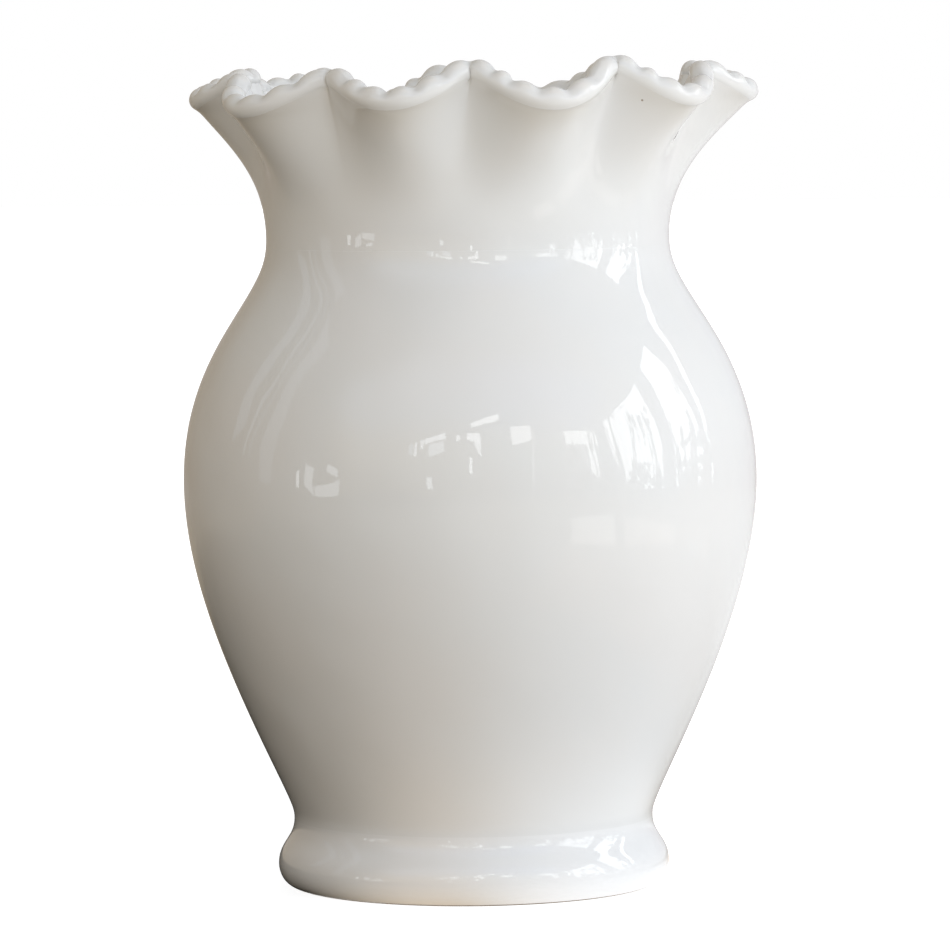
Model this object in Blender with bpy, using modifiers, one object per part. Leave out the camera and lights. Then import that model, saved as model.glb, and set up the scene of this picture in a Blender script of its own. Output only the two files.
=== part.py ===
"""Ruffled urn vase in glazed ceramic, in metres, standing on z = 0 with its axis on Z.

It is put together the way a potter does it: a turned foot ring, a body luted onto it, a flared collar
pinched into lobes and luted to the neck, and a coil pressed onto the collar's lip and thumbed into beads.
Each is its own solid, and a film of slip as thick as SLIP_GAP lies in every joint. Angles around the axis
start at the front, -Y, and grow towards +X.
"""

import math

import bmesh
import bpy
from mathutils import Vector

# Foot ring
STAND_RADIUS = 0.055
FOOT_RADIUS = 0.0604
FOOT_BULGE_HEIGHT = 0.0066
FOOT_BORE_RADIUS = 0.046
FOOT_BORE_CHAMFER = 0.0012
WAIST_RADIUS = 0.05545
WAIST_HEIGHT = 0.0206

# Body
WAIST_FILLET = 0.0096
WAIST_LEAN = math.radians(15.7)
BELLY_RADIUS = 0.0883
BELLY_HEIGHT = 0.125
NECK_RADIUS = 0.0623
NECK_HEIGHT = 0.199
NECK_BAND = 0.005
WALL = 0.005
FLOOR = 0.008
FLOOR_FILLET = 0.008
BOSS_DEPTH = 0.005

# Collar, whose rim rises to a pinch between every two lobes
LOBES = 10
LOBE_RADIUS = 0.0874
PINCH_RADIUS = 0.0770
PINCH_HEIGHT = 0.2549
LOBE_DROP = 0.008
LOBE_LEAN = math.radians(40)
PINCH_LEAN = math.radians(22)
RIM_SHIFT = 0.0022

# Beaded edging
ROLL_RADIUS = 0.0035
BEAD_DEPTH = 0.0013

# Where each of a lobe's six beads starts, as a share of the lobe
BEAD_STARTS = (0.0, 0.165, 0.28, 0.45, 0.625, 0.80)

SLIP_GAP = 0.0003

# How far the potter's fingers missed an even ruffle, from the front pinch or lobe round towards +X: drops and
# sags in metres, turns in degrees, and how far a lobe's lowest point and its beads slip, in lobes
PINCH_DROPS = (0.0011, 0.0, 0.0015, 0.0015, 0.0007, 0.0013, 0.0024, 0.0026, 0.0041, 0.0032)
PINCH_TURNS = (-0.8, -1.9, -2.2, 2.2, 0.5, 6.2, 0.7, 0.0, -2.3, 0.9)
LOBE_SAGS = (0.0014, 0.0005, -0.0018, 0.0011, -0.0007, 0.0011, -0.0043, -0.0022, 0.0, -0.0003)
LOBE_SKEWS = (0.0, -0.077, -0.034, 0.13, 0.017, 0.0, -0.071, 0.0, 0.02, 0.044)
THUMB_SLIPS = (-0.055, -0.08, 0.03, -0.02, 0.04, 0.0, -0.04, 0.02, 0.04, 0.065)

# Curve handles, as shares of the straight distance between a curve's ends, and how late the shift sets in
WAIST_HANDLE = 0.10
BELLY_HANDLE_BELOW = 0.39
BELLY_HANDLE_ABOVE = 0.54
NECK_HANDLE = 0.20
FLARE_HANDLE = 0.42
LIP_HANDLE = 0.25
SHIFT_POWER = 1.5
FOOT_HANDLE = 0.45
STAND_HANDLE = 0.55

# How softly the rim turns at a pinch: 0 is a sharp fold, and 1 is close to a plain wave
RIM_SOFTNESS = 0.20
NECK_SOFTNESS = 1.0
HEIGHT_SOFTNESS = 0.35

# How soon the folds die out below the rim: 1 is evenly down to the neck, and more is sooner
FOLD_POWER = 4

# The lip's half thickness, as a share of the roll that sits on it
LIP_SHARE = 0.85

# How far below the roll's centre line the wall's last plain row lies, as a share of the seat's radius
SEAT_MARGIN = 1.3

# Facets
TURNED_STEPS = 60
FILLET_STEPS = 3
OUTER_STEPS = 7
INNER_STEPS = 5
FOOT_STEPS = 4
STATIONS_PER_LOBE = 16
STATION_CROWDING = 0.5
FLARE_ROWS = 5
SEAT_STEPS = 4
STATIONS_PER_BEAD = 4
ROLL_BEVEL_RESOLUTION = 2
MERGE_DISTANCE = 0.00001
SHARP_ANGLE = math.radians(50)

FULL_TURN = 2 * math.pi
DERIVATIVE_STEP = 0.0005


def bezier(start, start_handle, end_handle, end, steps):
    """Points along a cubic curve, without its first one."""
    points = []
    for i in range(1, steps + 1):
        t = i / steps
        weights = ((1 - t) ** 3, 3 * t * (1 - t) ** 2, 3 * t * t * (1 - t), t**3)
        corners = (start, start_handle, end_handle, end)
        points.append(tuple(sum(w * c[axis] for w, c in zip(weights, corners)) for axis in (0, 1)))
    return points


def foot_side():
    """The foot's outer side as (radius, height), from its waist down to the table."""
    waist = (WAIST_RADIUS, WAIST_HEIGHT)
    bulge = (FOOT_RADIUS, FOOT_BULGE_HEIGHT)
    stand = (STAND_RADIUS, 0.0)
    fall = FOOT_HANDLE * (WAIST_HEIGHT - FOOT_BULGE_HEIGHT)
    tuck_down = STAND_HANDLE * FOOT_BULGE_HEIGHT
    tuck_in = STAND_HANDLE * (FOOT_RADIUS - STAND_RADIUS)
    upper = bezier(
        waist,
        (WAIST_RADIUS, WAIST_HEIGHT - fall),
        (FOOT_RADIUS, FOOT_BULGE_HEIGHT + fall),
        bulge,
        FOOT_STEPS,
    )
    lower = bezier(
        bulge,
        (FOOT_RADIUS, FOOT_BULGE_HEIGHT - tuck_down),
        (STAND_RADIUS + tuck_in, 0.0),
        stand,
        FOOT_STEPS,
    )
    return [waist] + upper + lower


def body_side(steps):
    """The body's outer side as (radius, height), from its seat on the foot up to the neck, in this many steps
    below the belly and as many above it."""
    seat = WAIST_HEIGHT + SLIP_GAP
    points = [(WAIST_RADIUS, seat)]
    for i in range(1, FILLET_STEPS + 1):
        angle = WAIST_LEAN * i / FILLET_STEPS
        radius = WAIST_RADIUS + WAIST_FILLET * (1 - math.cos(angle))
        points.append((radius, seat + WAIST_FILLET * math.sin(angle)))
    low = points[-1]
    belly = (BELLY_RADIUS, BELLY_HEIGHT)
    neck = (NECK_RADIUS, NECK_HEIGHT - NECK_BAND / 2)
    below = math.dist(low, belly)
    above = math.dist(belly, neck)
    reach = WAIST_HANDLE * below
    points += bezier(
        low,
        (low[0] + reach * math.sin(WAIST_LEAN), low[1] + reach * math.cos(WAIST_LEAN)),
        (BELLY_RADIUS, BELLY_HEIGHT - BELLY_HANDLE_BELOW * below),
        belly,
        steps,
    )
    points += bezier(
        belly,
        (BELLY_RADIUS, BELLY_HEIGHT + BELLY_HANDLE_ABOVE * above),
        (NECK_RADIUS, neck[1] - NECK_HANDLE * above),
        neck,
        steps,
    )
    return points


def offset_inwards(points, distance):
    """The line that lies this far inside an outline that runs upwards."""
    moved = []
    for i, point in enumerate(points):
        before = points[max(i - 1, 0)]
        after = points[min(i + 1, len(points) - 1)]
        along = Vector(after) - Vector(before)
        along.normalize()
        moved.append((point[0] - distance * along[1], point[1] + distance * along[0]))
    return moved


def body_outline():
    """The body's whole section, from the floor's centre up the inside, over the neck and down the outside."""
    outer = body_side(OUTER_STEPS)
    boss_height = WAIST_HEIGHT + SLIP_GAP - BOSS_DEPTH
    floor_height = boss_height + FLOOR
    neck_top = NECK_HEIGHT + NECK_BAND / 2
    inner_throat = (NECK_RADIUS - WALL, neck_top)
    wall_start = floor_height + FLOOR_FILLET
    inner = [point for point in offset_inwards(body_side(INNER_STEPS), WALL) if point[1] > wall_start]
    corner = (inner[0][0] - (inner[0][1] - floor_height) * math.tan(WAIST_LEAN), floor_height)
    fillet_foot = (corner[0] - FLOOR_FILLET, floor_height)
    fillet = bezier(fillet_foot, corner, corner, inner[0], FILLET_STEPS)
    boss_radius = FOOT_BORE_RADIUS - SLIP_GAP
    underside = [(boss_radius, outer[0][1]), (boss_radius, boss_height), (0.0, boss_height)]
    inside = [(0.0, floor_height), fillet_foot] + fillet + inner[1:] + [inner_throat]
    return inside + outer[::-1] + underside


def foot_outline():
    """The foot ring's section, a closed loop that runs down its outer side."""
    bore_edge = [
        (FOOT_BORE_RADIUS + FOOT_BORE_CHAMFER, 0.0),
        (FOOT_BORE_RADIUS, FOOT_BORE_CHAMFER),
        (FOOT_BORE_RADIUS, WAIST_HEIGHT),
    ]
    return foot_side() + bore_edge


def turned(name, outline, closed, material):
    """A piece thrown on the wheel: its section, swept once round Z."""
    mesh = bpy.data.meshes.new(name)
    count = len(outline)
    edges = [(i, (i + 1) % count) for i in range(count if closed else count - 1)]
    mesh.from_pydata([(radius, 0.0, height) for radius, height in outline], edges, [])
    piece = bpy.data.objects.new(name, mesh)
    screw = piece.modifiers.new("Turn", "SCREW")
    screw.axis = "Z"
    screw.angle = FULL_TURN
    screw.steps = TURNED_STEPS
    screw.render_steps = TURNED_STEPS
    screw.use_merge_vertices = True
    screw.merge_threshold = MERGE_DISTANCE
    screw.use_smooth_shade = True
    mesh.materials.append(material)
    return piece


def softened(wave, softness):
    """A wave from 0 to 1 with its sharp fold at 0 rounded off."""
    return (math.hypot(wave, softness) - softness) / (math.hypot(1.0, softness) - softness)


def eased(values, lobe, share):
    """A value given at each pinch, carried smoothly from this lobe's first pinch to its second."""
    first = values[lobe % len(values)]
    second = values[(lobe + 1) % LOBES % len(values)]
    return first + (second - first) * (1 - math.cos(math.pi * share)) / 2


def rim(turn, softness):
    """At this angle: where the roll's centre line runs, as (angle, radius, height), and the lip's lean."""
    lobe, share = divmod(turn * LOBES / FULL_TURN, 1)
    lobe = int(lobe) % LOBES
    skewed = share - LOBE_SKEWS[lobe % len(LOBE_SKEWS)] * math.sin(math.pi * share)
    wave = abs(math.sin(math.pi * skewed))
    out = softened(wave, softness)
    down = softened(wave, HEIGHT_SOFTNESS)
    sag = LOBE_DROP + LOBE_SAGS[lobe % len(LOBE_SAGS)]
    angle = turn + math.radians(eased(PINCH_TURNS, lobe, share))
    radius = PINCH_RADIUS + (LOBE_RADIUS - PINCH_RADIUS) * out - ROLL_RADIUS
    height = PINCH_HEIGHT - eased(PINCH_DROPS, lobe, share) - sag * down - ROLL_RADIUS
    lean = PINCH_LEAN + (LOBE_LEAN - PINCH_LEAN) * out
    return angle, radius, height, lean


def flare(turn, rise):
    """A point on the middle of the collar's wall: rise 0 is the neck, and 1 is the roll's centre line."""
    softness = NECK_SOFTNESS + (RIM_SOFTNESS - NECK_SOFTNESS) * rise**FOLD_POWER
    angle, radius, height, lean = rim(turn, softness)
    neck = (NECK_RADIUS - WALL / 2, NECK_HEIGHT + NECK_BAND / 2)
    reach = math.dist(neck, (radius, height))
    neck_handle = (neck[0], neck[1] + FLARE_HANDLE * reach)
    lip_handle = (
        radius - LIP_HANDLE * reach * math.sin(lean),
        height - LIP_HANDLE * reach * math.cos(lean),
    )
    weights = ((1 - rise) ** 3, 3 * rise * (1 - rise) ** 2, 3 * rise * rise * (1 - rise), rise**3)
    corners = (neck, neck_handle, lip_handle, (radius, height))
    out, up = (sum(w * c[axis] for w, c in zip(weights, corners)) for axis in (0, 1))
    shift = RIM_SHIFT * rise**SHIFT_POWER
    return Vector((out * math.sin(angle) + shift, -out * math.cos(angle), up))


def directions(turn, rise):
    """Unit vectors at a point of the collar's wall: along the rim, up the wall and out of the wall."""
    along = flare(turn + DERIVATIVE_STEP, rise) - flare(turn - DERIVATIVE_STEP, rise)
    along.normalize()
    if rise < 1:
        up = flare(turn, rise + DERIVATIVE_STEP) - flare(turn, rise)
    else:
        up = flare(turn, 1) - flare(turn, 1 - DERIVATIVE_STEP)
    outward = along.cross(up)
    outward.normalize()
    return along, outward.cross(along), outward


def collar_section(turn):
    """The collar's wall here, as a loop: up the outside, across the roll's seat and down the inside."""
    lip_half = LIP_SHARE * ROLL_RADIUS
    seat_radius = ROLL_RADIUS + SLIP_GAP
    spread = math.asin(lip_half / seat_radius)
    crown = flare(turn, 1)
    last_rise = 1 - SEAT_MARGIN * seat_radius / (3 * LIP_HANDLE * (crown.z - NECK_HEIGHT))
    outside = []
    inside = []
    for row in range(1, FLARE_ROWS + 1):
        rise = last_rise * row / FLARE_ROWS
        middle = flare(turn, rise)
        outward = directions(turn, rise)[2]
        half = WALL / 2 + (lip_half - WALL / 2) * rise
        outside.append(middle + half * outward)
        inside.append(middle - half * outward)
    up, outward = directions(turn, 1)[1:]
    flat_radius = seat_radius / math.cos(spread / SEAT_STEPS)
    seat = []
    for i in range(SEAT_STEPS + 1):
        angle = spread * (1 - 2 * i / SEAT_STEPS)
        seat.append(crown + flat_radius * (outward * math.sin(angle) - up * math.cos(angle)))
    lift = SLIP_GAP * math.hypot(WALL, NECK_BAND) / WALL
    around = flare(turn, 0)
    radial = Vector((around.x, around.y, 0.0)).normalized()
    outer_foot = radial * NECK_RADIUS + Vector((0, 0, NECK_HEIGHT - NECK_BAND / 2 + lift))
    inner_foot = radial * (NECK_RADIUS - WALL) + Vector((0, 0, NECK_HEIGHT + NECK_BAND / 2 + lift))
    return [outer_foot] + outside + seat + inside[::-1] + [inner_foot]


def collar_turns():
    """The angles of the collar's sections, which crowd towards each pinch, where the wall folds."""
    turns = []
    for lobe in range(LOBES):
        for i in range(STATIONS_PER_LOBE):
            share = i / STATIONS_PER_LOBE
            share -= STATION_CROWDING * math.sin(FULL_TURN * share) / FULL_TURN
            turns.append((lobe + share) * FULL_TURN / LOBES)
    return turns


def lofted(name, sections, material):
    """A ring-shaped piece with a face between each two neighbours of each two sections."""
    shape = bmesh.new()
    rings = [[shape.verts.new(point) for point in section] for section in sections]
    for near, far in zip(rings, rings[1:] + rings[:1]):
        for i in range(len(near)):
            j = (i + 1) % len(near)
            shape.faces.new((near[i], far[i], far[j], near[j]))
    mesh = bpy.data.meshes.new(name)
    shape.to_mesh(mesh)
    shape.free()
    mesh.shade_smooth()
    mesh.set_sharp_from_angle(angle=SHARP_ANGLE)
    mesh.materials.append(material)
    return bpy.data.objects.new(name, mesh)


def bead_turn(bead, along):
    """The angle of a point on the roll, given its bead and how far along the bead it is, from 0 to 1."""
    lobe, index = divmod(bead, len(BEAD_STARTS))
    ends = BEAD_STARTS + (1.0,)
    share = ends[index] + (ends[index + 1] - ends[index]) * along
    slip = THUMB_SLIPS[lobe % len(THUMB_SLIPS)] * math.sin(math.pi * share)
    return (lobe + share + slip) * FULL_TURN / LOBES


def beaded_roll(name, material):
    """The coil on the lip. Its notches cut its top and inner side, and its side on the wall stays smooth."""
    curve = bpy.data.curves.new(name, "CURVE")
    curve.dimensions = "3D"
    curve.twist_mode = "Z_UP"
    curve.bevel_depth = ROLL_RADIUS
    curve.bevel_resolution = ROLL_BEVEL_RESOLUTION
    spline = curve.splines.new("POLY")
    count = LOBES * len(BEAD_STARTS) * STATIONS_PER_BEAD
    spline.points.add(count - 1)
    spline.use_cyclic_u = True
    for i, point in enumerate(spline.points):
        bead, step = divmod(i, STATIONS_PER_BEAD)
        turn = bead_turn(bead, step / STATIONS_PER_BEAD)
        swell = math.sin(math.pi * step / STATIONS_PER_BEAD)
        notch = BEAD_DEPTH * (1 - swell) / 2
        up, outward = directions(turn, 1)[1:]
        thumbed = (up - outward).normalized()
        point.co = (*(flare(turn, 1) - notch * thumbed), 1.0)
        point.radius = 1 - notch / ROLL_RADIUS
    curve.materials.append(material)
    return bpy.data.objects.new(name, curve)


def glaze(name, colour, roughness):
    material = bpy.data.materials.new(name)
    material.use_nodes = True
    shader = material.node_tree.nodes["Principled BSDF"]
    shader.inputs["Base Color"].default_value = (*colour, 1.0)
    shader.inputs["Roughness"].default_value = roughness
    shader.inputs["Metallic"].default_value = 0.0
    material.diffuse_color = (*colour, 1.0)
    return material


def main():
    for old in list(bpy.data.objects):
        bpy.data.objects.remove(old, do_unlink=True)
    vase = bpy.data.collections.new("urn_vase")
    bpy.context.scene.collection.children.link(vase)
    collar_sections = [collar_section(turn) for turn in collar_turns()]
    pieces = [
        turned("foot_ring", foot_outline(), True, glaze("foot_glaze", (0.83, 0.82, 0.79), 0.12)),
        turned("body", body_outline(), False, glaze("body_glaze", (0.86, 0.85, 0.83), 0.08)),
        lofted("collar", collar_sections, glaze("collar_glaze", (0.86, 0.85, 0.82), 0.10)),
        beaded_roll("beaded_edging", glaze("edging_glaze", (0.87, 0.86, 0.83), 0.10)),
    ]
    for piece in pieces:
        vase.objects.link(piece)


main()
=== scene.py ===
import math
import random

import bmesh
import bpy
import numpy as np
from mathutils import Matrix, Vector

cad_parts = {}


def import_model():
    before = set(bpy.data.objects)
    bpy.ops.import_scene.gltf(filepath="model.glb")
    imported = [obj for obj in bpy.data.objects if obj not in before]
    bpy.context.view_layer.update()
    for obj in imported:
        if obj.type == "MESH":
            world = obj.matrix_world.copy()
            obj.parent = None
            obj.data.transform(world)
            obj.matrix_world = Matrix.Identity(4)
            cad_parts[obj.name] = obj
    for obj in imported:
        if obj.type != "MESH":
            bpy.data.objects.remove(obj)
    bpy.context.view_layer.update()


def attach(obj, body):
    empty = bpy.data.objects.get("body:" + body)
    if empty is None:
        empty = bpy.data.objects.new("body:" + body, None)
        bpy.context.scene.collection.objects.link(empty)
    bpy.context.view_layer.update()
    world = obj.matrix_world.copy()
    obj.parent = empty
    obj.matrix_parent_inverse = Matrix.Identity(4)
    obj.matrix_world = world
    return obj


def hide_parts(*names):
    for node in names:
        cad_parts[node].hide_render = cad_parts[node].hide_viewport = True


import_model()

FULL_TURN = 2 * math.pi
UP = np.array((0, 0, 1))

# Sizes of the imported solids
STAND_RADIUS = 0.055
FOOT_RADIUS = 0.0604
FOOT_BULGE_HEIGHT = 0.0066
FOOT_BORE_RADIUS = 0.046
FOOT_BORE_CHAMFER = 0.0012
WAIST_RADIUS = 0.05545
WAIST_HEIGHT = 0.0206
WAIST_FILLET = 0.0096
WAIST_LEAN = math.radians(15.7)
BELLY_RADIUS = 0.0883
BELLY_HEIGHT = 0.125
NECK_RADIUS = 0.0623
NECK_HEIGHT = 0.199
NECK_BAND = 0.005
WALL = 0.005
FLOOR = 0.008
FLOOR_FILLET = 0.008
BOSS_DEPTH = 0.005
LOBES = 10
LOBE_RADIUS = 0.0874
PINCH_RADIUS = 0.0770
PINCH_HEIGHT = 0.2549
LOBE_DROP = 0.008
LOBE_LEAN = math.radians(40)
PINCH_LEAN = math.radians(22)
RIM_SHIFT = 0.0022
SHIFT_POWER = 1.5
ROLL_RADIUS = 0.0035
BEAD_STARTS = (0.0, 0.165, 0.28, 0.45, 0.625, 0.80)
SLIP_GAP = 0.0003
PINCH_DROPS = np.array((0.0011, 0.0, 0.0015, 0.0015, 0.0007, 0.0013, 0.0024, 0.0026, 0.0041, 0.0032))
PINCH_TURNS = np.radians((-0.8, -1.9, -2.2, 2.2, 0.5, 6.2, 0.7, 0.0, -2.3, 0.9))
LOBE_SAGS = np.array((0.0014, 0.0005, -0.0018, 0.0011, -0.0007, 0.0011, -0.0043, -0.0022, 0.0, -0.0003))
LOBE_SKEWS = np.array((0.0, -0.077, -0.034, 0.13, 0.017, 0.0, -0.071, 0.0, 0.02, 0.044))
THUMB_SLIPS = np.array((-0.055, -0.08, 0.03, -0.02, 0.04, 0.0, -0.04, 0.02, 0.04, 0.065))

# Curve handles, as shares of the distance between a curve's ends, or of their difference in height
WAIST_HANDLE = 0.10
BELLY_HANDLE_BELOW = 0.39
BELLY_HANDLE_ABOVE = 0.54
NECK_HANDLE = 0.20
FLARE_HANDLE = 0.42
LIP_HANDLE = 0.25
FOOT_HANDLE = 0.45
STAND_HANDLE = 0.55

# How softly the rim turns at a pinch: 0 is a sharp fold, and 1 is close to a plain wave
RIM_SOFTNESS = 0.20
NECK_SOFTNESS = 1.0
HEIGHT_SOFTNESS = 0.35

# How soon the folds die out below the rim
FOLD_POWER = 4

# The seams are closed halfway through the film of slip
FOOT_SEAM = WAIST_HEIGHT + SLIP_GAP / 2
NECK_SEAM = NECK_HEIGHT - NECK_BAND / 2 + SLIP_GAP / 2
INNER_SEAM = NECK_HEIGHT + NECK_BAND / 2 + SLIP_GAP / 2


def cubic_weights(t):
    """The shares that a cubic curve's four points have at this share of its way."""
    return (1 - t) ** 3, 3 * t * (1 - t) ** 2, 3 * t * t * (1 - t), t**3


def bezier(start, start_handle, end_handle, end, steps):
    """Points along a cubic curve, without its first one."""
    t = np.linspace(0, 1, steps + 1)[1:, None]
    corners = (start, start_handle, end_handle, end)
    return sum(w * np.array(c) for w, c in zip(cubic_weights(t), corners))


def line(start, end, steps):
    """Points along a straight line, without its first one."""
    t = np.linspace(0, 1, steps + 1)[1:, None]
    return np.array(start) * (1 - t) + np.array(end) * t


def bell(distance, width):
    """1 where the distance is 0, and falling off on both sides over this width."""
    return np.exp(-((distance / width) ** 2))


def smooth(share):
    """A share from 0 to 1 that starts and ends gently."""
    return share**2 * (3 - 2 * share)


def unit(vectors):
    """The vectors, each made 1 long."""
    return vectors / np.linalg.norm(vectors, axis=-1, keepdims=True)


# Foot ring and body
TURNED_STATIONS = 288
OUTER_STEPS = 48
INNER_STEPS = 24
FILLET_POINTS = 13
EDGE_POINTS = 5
BOSS_EDGE = 0.0008

# The unevenness dies out near the table and near the axis, over this height and this radius
UNEVENNESS = 0.00012
EVEN_HEIGHT = 0.004
EVEN_RADIUS = 0.03

# Waves of the unevenness: share, count around the wall, climb in radians a metre, and phase
WAVES = ((0.40, 2, 60, 1.3), (0.35, 3, -45, 0.5), (0.25, 5, 110, 2.1))


def body_side(steps):
    """The body's outer side as (radius, height), from its seat on the foot up to the neck."""
    angles = np.linspace(0, WAIST_LEAN, FILLET_POINTS)
    arc_radii = WAIST_RADIUS + WAIST_FILLET * (1 - np.cos(angles))
    arc_heights = WAIST_HEIGHT + SLIP_GAP + WAIST_FILLET * np.sin(angles)
    arc = np.stack([arc_radii, arc_heights], -1)
    low = arc[-1]
    belly = (BELLY_RADIUS, BELLY_HEIGHT)
    neck = (NECK_RADIUS, NECK_HEIGHT - NECK_BAND / 2)
    below = math.dist(low, belly)
    above = math.dist(belly, neck)
    reach = WAIST_HANDLE * below
    leaning = (low[0] + reach * math.sin(WAIST_LEAN), low[1] + reach * math.cos(WAIST_LEAN))
    under_belly = (BELLY_RADIUS, BELLY_HEIGHT - BELLY_HANDLE_BELOW * below)
    over_belly = (BELLY_RADIUS, BELLY_HEIGHT + BELLY_HANDLE_ABOVE * above)
    under_neck = (NECK_RADIUS, neck[1] - NECK_HANDLE * above)
    lower = bezier(low, leaning, under_belly, belly, steps)
    upper = bezier(belly, over_belly, under_neck, neck, steps)
    seam = [(WAIST_RADIUS, FOOT_SEAM)]
    top = [(NECK_RADIUS, NECK_SEAM)]
    return np.concatenate([seam, arc, lower, upper, top])


def offset_inwards(points, distance):
    """The line that lies this far inside an outline that runs upwards."""
    along = np.gradient(points, axis=0)
    along /= np.linalg.norm(along, axis=1)[:, None]
    return points + distance * np.stack([-along[:, 1], along[:, 0]], -1)


def body_outline():
    """The body's section, from the floor's centre up the inside, over the neck and down the outside."""
    outer = body_side(OUTER_STEPS)
    outer[:, 0] += softer(outer[:, 1])
    boss_height = WAIST_HEIGHT + SLIP_GAP - BOSS_DEPTH
    floor_height = boss_height + FLOOR
    inner = offset_inwards(body_side(INNER_STEPS), WALL)
    inner = inner[(inner[:, 1] > floor_height + FLOOR_FILLET) & (inner[:, 1] < NECK_SEAM)]
    corner = (inner[0][0] - (inner[0][1] - floor_height) * math.tan(WAIST_LEAN), floor_height)
    fillet_foot = (corner[0] - FLOOR_FILLET, floor_height)
    boss_radius = FOOT_BORE_RADIUS - SLIP_GAP
    return np.concatenate(
        [
            [(0.0, floor_height)],
            line((0.0, floor_height), fillet_foot, steps=10),
            bezier(fillet_foot, corner, corner, inner[0], steps=8),
            inner[1:],
            line(inner[-1], (NECK_RADIUS - WALL, INNER_SEAM), steps=4),
            outer[::-1],
            [(boss_radius, FOOT_SEAM)],
            rounded_corner((boss_radius, boss_height), BOSS_EDGE),
            line((boss_radius - BOSS_EDGE, boss_height), (0.0, boss_height), steps=8),
        ]
    )


def rounded_corner(corner, radius):
    """The rounding of the boss's lower edge, from its side to its underside."""
    angles = np.linspace(0, math.pi / 2, EDGE_POINTS)
    centre = (corner[0] - radius, corner[1] + radius)
    return np.stack([centre[0] + radius * np.cos(angles), centre[1] - radius * np.sin(angles)], -1)


def foot_outline():
    """The foot ring's section, a closed loop that runs down its outer side."""
    waist = (WAIST_RADIUS, WAIST_HEIGHT)
    bulge = (FOOT_RADIUS, FOOT_BULGE_HEIGHT)
    stand = (STAND_RADIUS, 0.0)
    fall = FOOT_HANDLE * (WAIST_HEIGHT - FOOT_BULGE_HEIGHT)
    under_waist = (WAIST_RADIUS, WAIST_HEIGHT - fall)
    over_bulge = (FOOT_RADIUS, FOOT_BULGE_HEIGHT + fall)
    under_bulge = (FOOT_RADIUS, FOOT_BULGE_HEIGHT - STAND_HANDLE * FOOT_BULGE_HEIGHT)
    beside_stand = (STAND_RADIUS + STAND_HANDLE * (FOOT_RADIUS - STAND_RADIUS), 0.0)
    inner_edge = (FOOT_BORE_RADIUS + FOOT_BORE_CHAMFER, 0.0)
    bore_corner = (FOOT_BORE_RADIUS, 0.0)
    bore_foot = (FOOT_BORE_RADIUS, FOOT_BORE_CHAMFER)
    return np.concatenate(
        [
            [(WAIST_RADIUS, FOOT_SEAM), waist],
            bezier(waist, under_waist, over_bulge, bulge, steps=28),
            bezier(bulge, under_bulge, beside_stand, stand, steps=20),
            line(stand, inner_edge, steps=6),
            bezier(inner_edge, bore_corner, bore_corner, bore_foot, steps=5),
            line(bore_foot, (FOOT_BORE_RADIUS, FOOT_SEAM), steps=6),
        ]
    )


def unevenness(turn, height):
    """How far the potter's hand left the turned wall inside its even radius."""
    wave = 0
    for share, count, climb, phase in WAVES:
        wave = wave + share * np.sin(count * turn + climb * height + phase)
    return -UNEVENNESS * (1 + wave)


def turned_rings(outline):
    """The section's points at every station around the axis, with the wall's slight unevenness."""
    turn = np.linspace(0, FULL_TURN, TURNED_STATIONS, endpoint=False)[:, None]
    radius, height = outline[None, :, 0], outline[None, :, 1]
    settle = np.clip(height / EVEN_HEIGHT, 0, 1) * np.clip(radius / EVEN_RADIUS, 0, 1)
    radius = radius + unevenness(turn, height) * settle
    return np.stack([radius * np.sin(turn), -radius * np.cos(turn), height + 0 * turn], -1)


# The ruffle. The wall's directions are taken between points this far apart on both sides.
SMALL_STEP = 0.0004


def softened(wave, softness):
    """A wave from 0 to 1 with its sharp fold at 0 rounded off."""
    return (np.hypot(wave, softness) - softness) / (np.hypot(1.0, softness) - softness)


def rim(turn, softness):
    """The angle, radius and height of the roll's centre line at these angles, and the lip's lean there."""
    lobes = turn * LOBES / FULL_TURN
    share = lobes - np.floor(lobes)
    lobe = np.floor(lobes).astype(int) % LOBES
    after = (lobe + 1) % LOBES
    ease = (1 - np.cos(math.pi * share)) / 2
    skewed = share - LOBE_SKEWS[lobe] * np.sin(math.pi * share)
    wave = np.abs(np.sin(math.pi * skewed))
    out = softened(wave, softness)
    down = softened(wave, HEIGHT_SOFTNESS)
    angle = turn + PINCH_TURNS[lobe] + (PINCH_TURNS[after] - PINCH_TURNS[lobe]) * ease
    radius = PINCH_RADIUS + (LOBE_RADIUS - PINCH_RADIUS) * out - ROLL_RADIUS
    drop = PINCH_DROPS[lobe] + (PINCH_DROPS[after] - PINCH_DROPS[lobe]) * ease
    height = PINCH_HEIGHT - drop - (LOBE_DROP + LOBE_SAGS[lobe]) * down - ROLL_RADIUS
    lean = PINCH_LEAN + (LOBE_LEAN - PINCH_LEAN) * out
    return angle, radius, height, lean


def flare(turn, rise):
    """Points on the middle of the collar's wall: rise 0 is the neck, and 1 is the roll's centre line."""
    softness = NECK_SOFTNESS + (RIM_SOFTNESS - NECK_SOFTNESS) * rise**FOLD_POWER
    angle, radius, height, lean = rim(turn, softness)
    neck = (NECK_RADIUS - WALL / 2, NECK_HEIGHT + NECK_BAND / 2)
    reach = np.hypot(radius - neck[0], height - neck[1])
    weights = cubic_weights(rise)
    lip_out = radius - LIP_HANDLE * reach * np.sin(lean)
    lip_up = height - LIP_HANDLE * reach * np.cos(lean)
    out = sum(w * c for w, c in zip(weights, (neck[0], neck[0], lip_out, radius)))
    up = sum(w * c for w, c in zip(weights, (neck[1], neck[1] + FLARE_HANDLE * reach, lip_up, height)))
    shift = RIM_SHIFT * rise**SHIFT_POWER
    return np.stack([out * np.sin(angle) + shift, -out * np.cos(angle), up], -1)


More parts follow.
